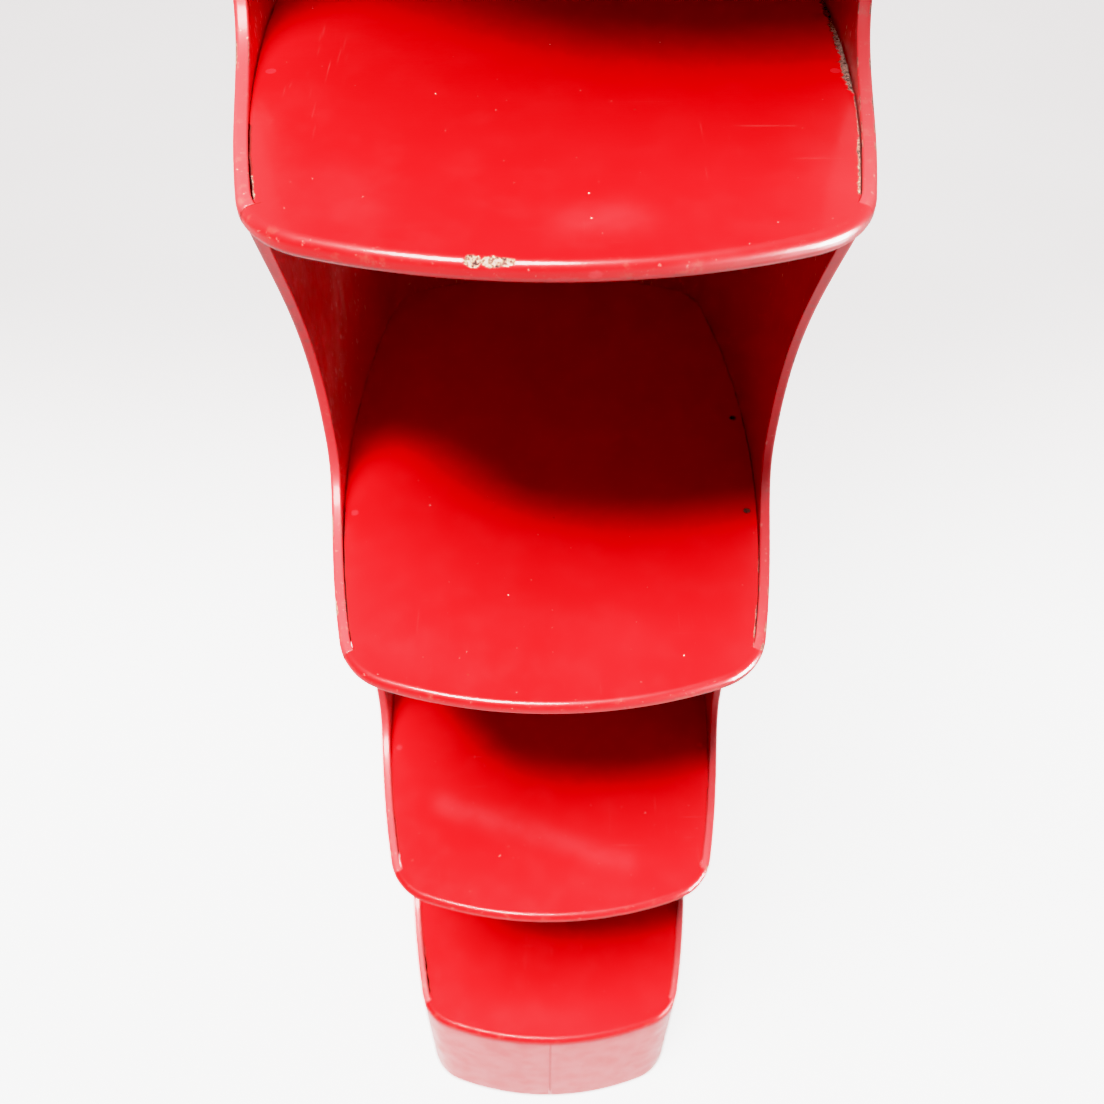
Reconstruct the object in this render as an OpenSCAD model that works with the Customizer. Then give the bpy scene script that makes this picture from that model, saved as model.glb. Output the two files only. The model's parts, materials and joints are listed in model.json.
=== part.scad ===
// Free-standing open display tower with an oval plan.
// A thin bent-board shell wraps round the sides and back. Each bay is
// scooped open at the front, and bow-fronted shelves with rounded nosings
// close the oval at every level. The lowest shelf caps a closed plinth.
// Units are millimetres. +Z is up, the front faces -Y, +X is the right,
// and the origin lies on the floor under the middle of the oval.

/* [Plan shape] */
// Overall width of the oval, side to side
body_width = 360; // [352:1:372]
// Overall depth of the oval, front to back
body_depth = 524; // [516:1:540]
// Radius of the four corners
corner_radius = 55; // [50:1:58]
// Distance of the corner centres from the middle, side to side
corner_x = 105; // [100:1:110]
// Distance of the corner centres from the middle, front to back
corner_y = 189; // [184:1:192]

/* [Levels] */
// Height from the floor to the top of the lowest shelf
plinth_height = 225; // [180:1:280]
// Height from one shelf top to the next
pitch = 365; // [330:1:400]
// Number of open bays
bays = 4; // [4:1:4]

/* [Boards] */
// Thickness of the bent shell
wall = 8; // [6:0.5:9]
// Thickness of the shelves, top and base
board = 12.5; // [12.5:0.5:16]
// Visible crack between a shelf and the shell
gap = 0.4; // [0.2:0.1:0.8]
// Radius of the upper and lower rounding on a shelf's front edge
nose_radius = 5.5; // [3.5:0.5:5.5]
// Radius of the eased front edge on the lowest shelf
cap_edge_radius = 6; // [4:0.5:6]
// Angle of the butt joint between shell and nosing, off the side axis
joint_angle = 27; // [22:1:32]

/* [Scooped bay opening] */
// Where the scoop starts under the upper shelf, behind the oval's front
scoop_start = 61; // [50:1:70]
// How much further back the scoop reaches at its deepest
scoop_reach = 153; // [110:1:165]
// Height of the deepest point above the lower shelf
scoop_low = 80; // [60:1:110]
// Extra height that sets how steeply the scoop meets the upper shelf
scoop_lift = 4.5; // [2:0.5:12]
// Squareness of the scoop's lower corner
scoop_squareness = 3.8; // [2.5:0.1:5]
// Where the scoop's foot runs out, behind the oval's front
scoop_foot = 16; // [10:1:25]

/* [Cleats and nails] */
// Width of a support cleat, measured in from the shell
cleat_width = 18; // [14:1:22]
// Height of a support cleat
cleat_height = 22; // [18:1:30]
// Half length of a support cleat along the side
cleat_half_length = 150; // [120:1:160]
// Shank diameter of a shelf nail
nail_diameter = 2.6; // [2.2:0.1:3.2]
// Head diameter of a shelf nail
nail_head_diameter = 6; // [5:0.2:7]
// Length of a shelf nail
nail_length = 30; // [26:1:32]
// Front-to-back positions of the nails on each side
nail_y = [-73, 40]; // [-120:1:120]

/* [Battens] */
// Width of the battens that back the shell seams in the plinth
batten_width = 44; // [36:1:60]
// Thickness of those battens
batten_thickness = 16; // [12:1:20]

/* [Hidden] */
$fn = 180;
overcut = 1; // how far a cutter or clip runs past a face
half_width = body_width / 2;
half_depth = body_depth / 2;
top_z = plinth_height + bays * pitch;
plinth_top = plinth_height - board;

// Height of a shelf's top face, counted down from the top panel at 0
function level(i) = top_z - i * pitch;

// The oval is eight tangent arcs. The bow and side radii follow from the
// corner circles, which both must touch without a kink. The centres are
// those of the right front corner, the right side and the front bow.
side_rise = half_width - corner_radius - corner_x;
bow_rise = half_depth - corner_radius - corner_y;
side_radius = corner_radius + (corner_y * corner_y / side_rise + side_rise) / 2;
bow_radius = corner_radius + (corner_x * corner_x / bow_rise + bow_rise) / 2;
corner_centre = [corner_x, -corner_y];
side_centre = [half_width - side_radius, 0];
bow_centre = [0, bow_radius - half_depth];

// Points well outside the oval on the lines where two arcs meet
bow_far = corner_centre + (corner_centre - bow_centre);
side_far = corner_centre + (corner_centre - side_centre) * 0.2;

// Point well outside the oval on a line at this angle through the right front corner
function joint_far(angle) = corner_centre + 140 * [cos(angle), -sin(angle)];

// Distance from the middle to the side arc at a given y, moved inward by inset
function side_x(y, inset) = side_centre.x + sqrt(pow(side_radius - inset, 2) - y * y);

// ---- plan shapes ----

// Sector of the right front corner, between its two meeting lines
module corner_zone() {
    polygon([corner_centre, bow_far, side_far]);
}

// Zone of the front bow, between the two front corner centres
module bow_zone() {
    polygon([[-corner_x, -corner_y], corner_centre, bow_far, [-bow_far.x, bow_far.y]]);
}

// Zone of the right side, between its two corner centres
module side_zone() {
    polygon([corner_centre, [corner_x, corner_y], [side_far.x, -side_far.y], side_far]);
}

// The full oval, moved inward by inset
module oval(inset = 0) {
    polygon([
        [corner_x, -corner_y], [corner_x, corner_y],
        [-corner_x, corner_y], [-corner_x, -corner_y]
    ]);
    for (back = [0, 1]) mirror([0, back])
        intersection() {
            translate(bow_centre) circle(r = bow_radius - inset);
            bow_zone();
        }
    for (left = [0, 1]) mirror([left, 0]) {
        intersection() {
            translate(side_centre) circle(r = side_radius - inset);
            side_zone();
        }
        for (back = [0, 1]) mirror([0, back])
            intersection() {
                translate(corner_centre) circle(r = corner_radius - inset);
                corner_zone();
            }
    }
}

// Everything in front of the two butt joints
module ahead_of_joints() {
    far = joint_far(joint_angle);
    front = -half_depth - 90;
    polygon([
        corner_centre, far, [far.x, front],
        [-far.x, front], [-far.x, far.y], [-corner_x, -corner_y]
    ]);
}

// ---- shell ----

// Section of the cut through one bay, as [y, height above the lower shelf]
bay_height = pitch - board;
bay_cut_top = bay_height + 0.01;
scoop_top = bay_height + scoop_lift;
scoop_start_y = -half_depth + scoop_start;
scoop_back_y = scoop_start_y + scoop_reach;
scoop_foot_y = -half_depth + scoop_foot;
scoop_front_y = -half_depth - 60;
upper_steps = 28;
lower_steps = 24;

// Cosine curve from the deepest point up to the upper shelf
function scoop_upper_y(z) =
    scoop_start_y + scoop_reach * cos(90 * (z - scoop_low) / (scoop_top - scoop_low));

// Squared-off quarter ellipse from the deepest point (0) down to the foot (90)
function scoop_lower_point(angle) = [
    scoop_foot_y + (scoop_back_y - scoop_foot_y) * pow(cos(angle), 2 / scoop_squareness),
    scoop_low - scoop_low * pow(sin(angle), 2 / scoop_squareness)
];

scoop_section = concat(
    [[scoop_front_y, bay_cut_top]],
    [for (i = [0:upper_steps])
        let (z = bay_cut_top - (bay_cut_top - scoop_low) * i / upper_steps)
        [scoop_upper_y(z), z]],
    [for (i = [1:lower_steps - 1]) scoop_lower_point(90 * i / lower_steps)],
    [[scoop_foot_y, 0], [scoop_front_y, 0]]
);

// One half of the shell; side is -1 for left, 1 for right
module shell_half(side) {
    reach = 400; // size of the block that removes the other half
    color([0.80, 0.05, 0.07]) difference() {
        linear_extrude(top_z) difference() {
            oval();
            oval(wall);
            translate([side > 0 ? gap / 2 - reach : -gap / 2, -reach])
                square([reach, 2 * reach]);
        }
        translate([0, 0, plinth_top]) linear_extrude(top_z) ahead_of_joints();
        for (i = [1:bays])
            translate([0, 0, level(i)]) rotate([90, 0, 90])
                linear_extrude(body_width + 40, center = true) polygon(scoop_section);
    }
}
module shell_left() { shell_half(-1); }
module shell_right() { shell_half(1); }

// ---- nails ----

nail_head_height = 1.5;
nail_clearance = 0.1; // added to the diameter of nail holes
nail_fn = 32;

// Places children at each nail, centred on the width of the cleats
module nail_points() {
    for (side = [1, -1], y = nail_y)
        translate([side * (side_x(y, wall) - cleat_width / 2), y, 0]) children();
}

// Nails through one shelf into its two cleats, heads flush
module nails(i) {
    color([0.45, 0.05, 0.06]) translate([0, 0, level(i)]) nail_points() {
        // The shank ends inside the head
        translate([0, 0, -nail_length])
            cylinder(d = nail_diameter, h = nail_length - 0.5, $fn = nail_fn);
        translate([0, 0, -nail_head_height])
            cylinder(d = nail_head_diameter, h = nail_head_height, $fn = nail_fn);
    }
}
module nails_top() { nails(0); }
module nails_shelf_1() { nails(1); }
module nails_shelf_2() { nails(2); }
module nails_shelf_3() { nails(3); }
module nails_shelf_4() { nails(4); }

// ---- shelves ----

nosing_width = wall + gap + board / 2 + 4; // runs in under the oval of the board
edge_fn = 48;

// Section of the front edge: x runs outward to the given radius, y runs up
module edge_section(radius, low_round, top_round) {
    inner = radius - nosing_width;
    translate([inner, 0]) square([nosing_width - max(low_round, top_round), board]);
    translate([inner, low_round]) square([nosing_width, board - low_round - top_round]);
    translate([radius - top_round, board - top_round]) circle(r = top_round, $fn = edge_fn);
    if (low_round > 0)
        translate([radius - low_round, low_round]) circle(r = low_round, $fn = edge_fn);
    else
        translate([inner, 0]) square([nosing_width, board - top_round]);
}

// Extrudes a plan zone past both faces of a board
module through_board() {
    translate([0, 0, -overcut]) linear_extrude(board + 2 * overcut) children();
}

// The rounded band that carries the shelf out to the full oval at the front
module nosing(low_round, top_round) {
    // Stops short of the butt joint by the gap, taken as an arc of the corner
    stop_angle = joint_angle + gap / corner_radius * 180 / PI;
    intersection() {
        translate(bow_centre) rotate_extrude() edge_section(bow_radius, low_round, top_round);
        through_board() bow_zone();
    }
    for (left = [0, 1]) mirror([left, 0, 0])
        intersection() {
            translate(corner_centre) rotate_extrude()
                edge_section(corner_radius, low_round, top_round);
            through_board() polygon([corner_centre, bow_far, joint_far(stop_angle)]);
        }
}

module shelf(i, low_round = nose_radius, top_round = nose_radius) {
    color([0.86, 0.05, 0.07]) translate([0, 0, level(i) - board]) difference() {
        union() {
            linear_extrude(board) oval(wall + gap);
            nosing(low_round, top_round);
        }
        nail_points() {
            translate([0, 0, -overcut])
                cylinder(d = nail_diameter + nail_clearance, h = board + 2 * overcut,
                         $fn = nail_fn);
            translate([0, 0, board - nail_head_height])
                cylinder(d = nail_head_diameter + nail_clearance, h = 2 * nail_head_height,
                         $fn = nail_fn);
        }
    }
}
module shelf_1() { shelf(1); }
module shelf_2() { shelf(2); }
module shelf_3() { shelf(3); }
module shelf_4() { shelf(4, low_round = 0, top_round = cap_edge_radius); }
module top_panel() { shelf(0); }

// Board that closes the plinth at the floor
module base_panel() {
    color([0.45, 0.33, 0.24]) linear_extrude(board) oval(wall);
}

// ---- cleats ----

// Support strip along the shell under a shelf; side is -1 for left, 1 for right
module cleat(i, side) {
    clip_inner = 60;
    clip_outer = half_width + 20;
    color([0.62, 0.05, 0.06]) difference() {
        translate([0, 0, level(i) - board - cleat_height]) linear_extrude(cleat_height)
            intersection() {
                difference() {
                    translate([side * side_centre.x, 0]) circle(r = side_radius - wall);
                    translate([side * side_centre.x, 0])
                        circle(r = side_radius - wall - cleat_width);
                }
                translate([side > 0 ? clip_inner : -clip_outer, -cleat_half_length])
                    square([clip_outer - clip_inner, 2 * cleat_half_length]);
            }
        translate([0, 0, level(i) - nail_length]) nail_points()
            cylinder(d = nail_diameter + nail_clearance, h = nail_length + overcut,
                     $fn = nail_fn);
    }
}
module cleat_top_left() { cleat(0, -1); }
module cleat_top_right() { cleat(0, 1); }
module cleat_1_left() { cleat(1, -1); }
module cleat_1_right() { cleat(1, 1); }
module cleat_2_left() { cleat(2, -1); }
module cleat_2_right() { cleat(2, 1); }
module cleat_3_left() { cleat(3, -1); }
module cleat_3_right() { cleat(3, 1); }
module cleat_4_left() { cleat(4, -1); }
module cleat_4_right() { cleat(4, 1); }

// ---- battens ----

// Upright inside the plinth that backs a shell seam, from y = start_y back
module batten(start_y) {
    color([0.60, 0.45, 0.30])
        translate([0, 0, board]) linear_extrude(plinth_top - board)
            intersection() {
                oval(wall);
                translate([-batten_width / 2, start_y])
                    square([batten_width, batten_thickness + wall]);
            }
}
module seam_batten_front() { batten(-half_depth); }
module seam_batten_back() { batten(half_depth - wall - batten_thickness); }

shell_left();
shell_right();
shelf_1();
shelf_2();
shelf_3();
shelf_4();
top_panel();
base_panel();
cleat_top_left();
cleat_top_right();
cleat_1_left();
cleat_1_right();
cleat_2_left();
cleat_2_right();
cleat_3_left();
cleat_3_right();
cleat_4_left();
cleat_4_right();
nails_top();
nails_shelf_1();
nails_shelf_2();
nails_shelf_3();
nails_shelf_4();
seam_batten_front();
seam_batten_back();
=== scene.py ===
"""A tall open shelf unit in red lacquer.

Two bent half shells meet at the middle of the front and the back and carry a top board and
four shelves, nailed to cleats. It stands on z = 0, front towards -Y, right towards +X.
Shapes are worked out in millimetres and written to the meshes in metres.
"""
import json
import math
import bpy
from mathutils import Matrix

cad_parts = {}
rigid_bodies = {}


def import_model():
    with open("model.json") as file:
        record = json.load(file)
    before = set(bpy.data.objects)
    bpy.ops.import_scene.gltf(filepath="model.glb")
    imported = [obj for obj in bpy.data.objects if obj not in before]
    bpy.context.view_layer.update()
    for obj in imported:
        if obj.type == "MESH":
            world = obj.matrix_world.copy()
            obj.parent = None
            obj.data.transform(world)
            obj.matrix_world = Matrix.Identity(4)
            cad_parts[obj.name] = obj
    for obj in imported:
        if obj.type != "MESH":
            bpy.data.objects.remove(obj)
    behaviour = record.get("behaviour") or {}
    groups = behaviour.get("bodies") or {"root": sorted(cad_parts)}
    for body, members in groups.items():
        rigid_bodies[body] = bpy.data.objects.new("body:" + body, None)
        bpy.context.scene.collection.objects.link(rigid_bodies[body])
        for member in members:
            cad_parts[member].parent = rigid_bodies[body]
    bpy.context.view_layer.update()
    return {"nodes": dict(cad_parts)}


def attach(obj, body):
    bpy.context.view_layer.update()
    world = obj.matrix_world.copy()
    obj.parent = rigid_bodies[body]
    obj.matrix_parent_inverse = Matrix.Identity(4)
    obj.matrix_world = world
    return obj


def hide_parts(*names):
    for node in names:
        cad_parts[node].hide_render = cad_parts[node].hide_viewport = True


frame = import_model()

from types import SimpleNamespace

import bpy
import numpy as np
from mathutils import Matrix, Vector
from mathutils.geometry import delaunay_2d_cdt


# ---------------------------------------------------------------- dimensions, mm
MM = 0.001
HALF_WIDTH, HALF_DEPTH = 180.0, 262.0
CORNER_RADIUS, CORNER_X, CORNER_Y = 55.0, 105.0, 189.0
WALL = 8.0          # shell thickness
SHELF = 12.5        # shelf thickness
PITCH = 365.0       # from one shelf top to the next
TOP = 1685.0
GAP = 0.4           # at the shell seams and between shelf and wall
PLINTH = TOP - 4 * PITCH - SHELF

# The plan is an oval of eight tangent arcs: front and back bows, four corners, two sides.
SIDE_RISE = HALF_WIDTH - CORNER_RADIUS - CORNER_X
BOW_RISE = HALF_DEPTH - CORNER_RADIUS - CORNER_Y
SIDE_RADIUS = CORNER_RADIUS + (CORNER_Y * CORNER_Y / SIDE_RISE + SIDE_RISE) / 2
BOW_RADIUS = CORNER_RADIUS + (CORNER_X * CORNER_X / BOW_RISE + BOW_RISE) / 2
SIDE_X = HALF_WIDTH - SIDE_RADIUS       # centre of the right side's arc
BOW_Y = BOW_RADIUS - HALF_DEPTH         # centre of the front bow's arc
BOW_ANGLE = math.atan2(CORNER_X, BOW_Y + CORNER_Y)
SIDE_ANGLE = math.atan2(CORNER_Y, CORNER_X - SIDE_X)
BOW_LENGTH = BOW_RADIUS * BOW_ANGLE
CORNER_LENGTH = CORNER_RADIUS * (math.pi / 2 - SIDE_ANGLE - BOW_ANGLE)
CORNER_END = BOW_LENGTH + CORNER_LENGTH
HALF_LENGTH = 2 * CORNER_END + 2 * SIDE_RADIUS * SIDE_ANGLE


def corner_s(degrees):
    """Arc position on the front corner, in degrees forward from the side."""
    return BOW_LENGTH + (math.radians(90 - degrees) - BOW_ANGLE) * CORNER_RADIUS


S_JOINT = corner_s(27)      # where the shell's openings end
S_NOSE = corner_s(27.42)    # where the shelf nosings end

# Edge of a shell opening, measured up from the shelf top below it
SCOOP_DEEP_Y = -48.0        # deepest point
SCOOP_DEEP_Z = 80.0
UPPER_FRONT_Y, UPPER_HEIGHT = -201.0, 357.0     # quarter cosine above the deepest point
LOWER_FRONT_Y, LOWER_POWER = -246.0, 3.8        # superellipse below it

EDGE_STEPS_SHELL, EDGE_STEPS_SHELF = 7, 12
TOP_INSETS = [5.0, 3.2, 1.9, 1.0, 0.45]     # extra rings on a shelf's top face
NAIL_INSET, HEAD_RADIUS, SHANK_RADIUS, HEAD_DEPTH = 9.0, 3.05, 1.35, 1.5
NAILS = []
for nail_y in (-73.0, 40.0):
    nail_x = SIDE_X + math.sqrt((SIDE_RADIUS - WALL) ** 2 - nail_y * nail_y) - NAIL_INSET
    NAILS += [(nail_x, nail_y), (-nail_x, nail_y)]


def level(i):
    """Height of the top of board i, counted down from the top board."""
    return TOP - PITCH * i


def oval_at(s):
    """Points and outward normals on the right half. s is the distance along the outer
    oval from the middle of the front to the middle of the back."""
    s = np.asarray(s, float)
    back = s > HALF_LENGTH / 2
    q = np.where(back, HALF_LENGTH - s, s)
    angle = np.where(
        q < BOW_LENGTH, q / BOW_RADIUS,
        np.where(q < CORNER_END, BOW_ANGLE + (q - BOW_LENGTH) / CORNER_RADIUS,
                 math.pi / 2 - SIDE_ANGLE + (q - BOW_LENGTH - CORNER_LENGTH) / SIDE_RADIUS))
    n = np.stack([np.sin(angle), -np.cos(angle)], -1)
    bow = n * BOW_RADIUS + (0, BOW_Y)
    corner = n * CORNER_RADIUS + (CORNER_X, -CORNER_Y)
    side = n * SIDE_RADIUS + (SIDE_X, 0)
    p = np.where((q < BOW_LENGTH)[..., None], bow,
                 np.where((q < CORNER_END)[..., None], corner, side))
    flip = np.stack([np.ones_like(s), np.where(back, -1.0, 1.0)], -1)
    return p * flip, n * flip


def signed_oval(u):
    """Points and normals all round: u is s on the right half and -s on the left."""
    p, n = oval_at(np.abs(u))
    mirror = np.stack([np.where(u < 0, -1.0, 1.0), np.ones_like(u)], -1)
    return p * mirror, n * mirror


def s_of_y(y):
    """Arc position where the front half of the outer oval crosses y."""
    y = np.asarray(y, float)
    side = CORNER_END + (SIDE_ANGLE - np.arcsin(np.clip(-y / SIDE_RADIUS, -1, 1))) * SIDE_RADIUS
    angle = np.arccos(np.clip((-y - CORNER_Y) / CORNER_RADIUS, -1, 1))
    corner = BOW_LENGTH + (angle - BOW_ANGLE) * CORNER_RADIUS
    return np.where(y > -SIDE_RADIUS * math.sin(SIDE_ANGLE), side, corner)


def wall_s(y):
    """Arc position on the side wall at y, front or back."""
    return float(s_of_y(y)) if y < 0 else HALF_LENGTH - float(s_of_y(-y))


# ---------------------------------------------------------------- helpers
def table_noise(seed):
    """Smooth value noise, 0..1, from a repeating 128 x 128 table."""
    table = np.random.default_rng(seed).random((128, 128))

    def noise(x, y):
        x, y = np.asarray(x, float), np.asarray(y, float)
        xi, yi = np.floor(x).astype(int), np.floor(y).astype(int)
        fx, fy = x - xi, y - yi
        fx, fy = fx * fx * (3 - 2 * fx), fy * fy * (3 - 2 * fy)
        x0, x1, y0, y1 = xi % 128, (xi + 1) % 128, yi % 128, (yi + 1) % 128
        near = table[x0, y0] * (1 - fx) + table[x1, y0] * fx
        far = table[x0, y1] * (1 - fx) + table[x1, y1] * fx
        return near * (1 - fy) + far * fy

    return noise


def smooth(a, b, x):
    """Smoothstep from 0 at a to 1 at b; a may be above b."""
    t = np.clip((np.asarray(x, float) - a) / (b - a), 0, 1)
    return t * t * (3 - 2 * t)


def fade(lo, hi, margin, u):
    """1 between lo and hi, easing to 0 over a share of the span at both ends."""
    t = (u - lo) / (hi - lo)
    return smooth(0, margin, t) * smooth(1, 1 - margin, t)


def unit(v):
    return v / np.maximum(np.linalg.norm(v, axis=1), 1e-9)[:, None]


def distances(points):
    """Distance along a polyline at each of its points."""
    return np.r_[0, np.cumsum(np.hypot(*np.diff(points, axis=0).T))]


def resample(points, step):
    """Points along a polyline at about the given spacing, ends kept."""
    points = np.asarray(points, float)
    d = distances(points)
    t = np.linspace(0, d[-1], max(1, int(round(d[-1] / step))) + 1)
    return np.stack([np.interp(t, d, points[:, 0]), np.interp(t, d, points[:, 1])], 1)


def inside(polygon, points):
    """Even-odd test of many points against one polygon, in batches."""
    x0, y0 = polygon[:, 0], polygon[:, 1]
    x1, y1 = np.roll(x0, -1), np.roll(y0, -1)
    out = np.zeros(len(points), bool)
    for k in range(0, len(points), 2000):
        x, y = points[k:k + 2000, 0][:, None], points[k:k + 2000, 1][:, None]
        crosses = (y0 > y) != (y1 > y)
        with np.errstate(divide="ignore", invalid="ignore"):
            x_cross = x0 + (y - y0) * (x1 - x0) / (y1 - y0)
        out[k:k + 2000] = (crosses & (x < x_cross)).sum(1) % 2 == 1
    return out


def far_from(points, loop, clear):
    """The points further than clear from every point of loop."""
    keep = np.ones(len(points), bool)
    for k in range(0, len(points), 1500):
        d = ((points[k:k + 1500, None, :] - loop[None]) ** 2).sum(2).min(1)
        keep[k:k + 1500] = d > clear * clear
    return points[keep]


def fill(loop, holes, grid, clear):
    """Anticlockwise triangles of the region inside loop and outside round holes. The points
    returned are the loop's, then the holes', then the grid's."""
    grid = far_from(grid[inside(loop, grid)], loop, clear)
    for hole in holes:
        centre = hole.mean(0)
        radius = np.hypot(*(hole[0] - centre))
        grid = grid[np.hypot(*(grid - centre).T) > radius + clear * 0.6]
    points = np.concatenate([loop] + holes + [grid])
    edges, first = [], 0
    for ring in [loop] + holes:
        n = len(ring)
        edges += [(first + i, first + (i + 1) % n) for i in range(n)]
        first += n
    _, _, faces, origins, _, _ = delaunay_2d_cdt([Vector(p) for p in points], edges, [], 0, 1e-7)
    source = np.array([o[0] if o else -1 for o in origins])
    tris = source[np.array([t for t in faces if len(t) == 3])]
    tris = tris[(tris >= 0).all(1)]
    centres = points[tris].mean(1)
    keep = inside(loop, centres)
    for hole in holes:
        keep &= ~inside(hole, centres)
    tris = tris[keep]
    a, b, c = points[tris[:, 0]], points[tris[:, 1]], points[tris[:, 2]]
    area = (b[:, 0] - a[:, 0]) * (c[:, 1] - a[:, 1]) - (b[:, 1] - a[:, 1]) * (c[:, 0] - a[:, 0])
    tris, area = tris[np.abs(area) > 1e-9], area[np.abs(area) > 1e-9]
    tris[area < 0] = tris[area < 0][:, ::-1]
    return points, tris


def renumber(faces, n, ring_start, rest_start):
    """Point numbers from fill to mesh numbers: the loop's n points, then the rest."""
    return np.where(faces < n, faces + ring_start, faces - n + rest_start)


def rounded_edge(upper, lower, thickness, middle, steps):
    """Rings across a board's edge, each (inset, depth, face weight, rim weight).
    upper and lower are the rounding radii; middle lists depths on the flat rim."""
    rings = []
    for j in range(steps + 1):
        a = math.pi / 2 * j / steps
        sin, cos = math.sin(a), math.cos(a)
        rings.append((upper * (1 - sin), upper * (1 - cos), cos, sin))
    rings += [(0 * upper, depth, 0.0, 1.0) for depth in middle]
    for j in range(steps + 1):
        a = math.pi / 2 * (1 - j / steps)
        sin, cos = math.sin(a), math.cos(a)
        rings.append((lower * (1 - sin), thickness - lower * (1 - cos), -cos, sin))
    return rings


def rim_faces(ring_count, n):
    """Quads between successive rings of n points."""
    k = np.arange(n)
    k2 = (k + 1) % n
    return np.concatenate([
        np.stack([a + k, a + n + k, a + n + k2, a + k2], 1)
        for a in range(0, (ring_count - 1) * n, n)])


def face_cross(faces, verts):
    a, b, c = verts[faces[:, 0]], verts[faces[:, 1]], verts[faces[:, 2]]
    return np.cross(b - a, c - a)


def orient(faces, verts, normals):
    """Turn the whole set over unless most faces agree with their normals."""
    agree = (face_cross(faces, verts) * normals[faces].sum(1)).sum(1)
    return faces if (agree > 0).mean() > 0.5 else faces[:, ::-1]


def build(name, node, verts, face_sets, normals, attributes, material, trust):
    """A mesh object from verts in mm. trust (0..1) says where the given normals hold;
    elsewhere the mesh's own are used."""
    mesh = bpy.data.meshes.new(name)
    faces = [face for faces in face_sets for face in faces.tolist()]
    mesh.from_pydata((verts * MM).tolist(), [], faces)
    mesh.validate()
    mesh.update()
    for key, values in attributes.items():
        layer = mesh.attributes.new(key, "FLOAT", "POINT")
        layer.data.foreach_set("value", np.asarray(values, np.float32))
    mesh.polygons.foreach_set("use_smooth", np.ones(len(mesh.polygons), bool))
    own = np.zeros(len(verts) * 3, np.float32)
    mesh.vertex_normals.foreach_get("vector", own)
    blended = unit(normals) * trust[:, None] + own.reshape(-1, 3) * (1 - trust[:, None])
    mesh.normals_split_custom_set_from_vertices(unit(blended).tolist())
    mesh.materials.append(material)
    ob = bpy.data.objects.new(name, mesh)
    bpy.context.scene.collection.objects.link(ob)
    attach(ob, "root")
    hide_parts(node)


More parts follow.
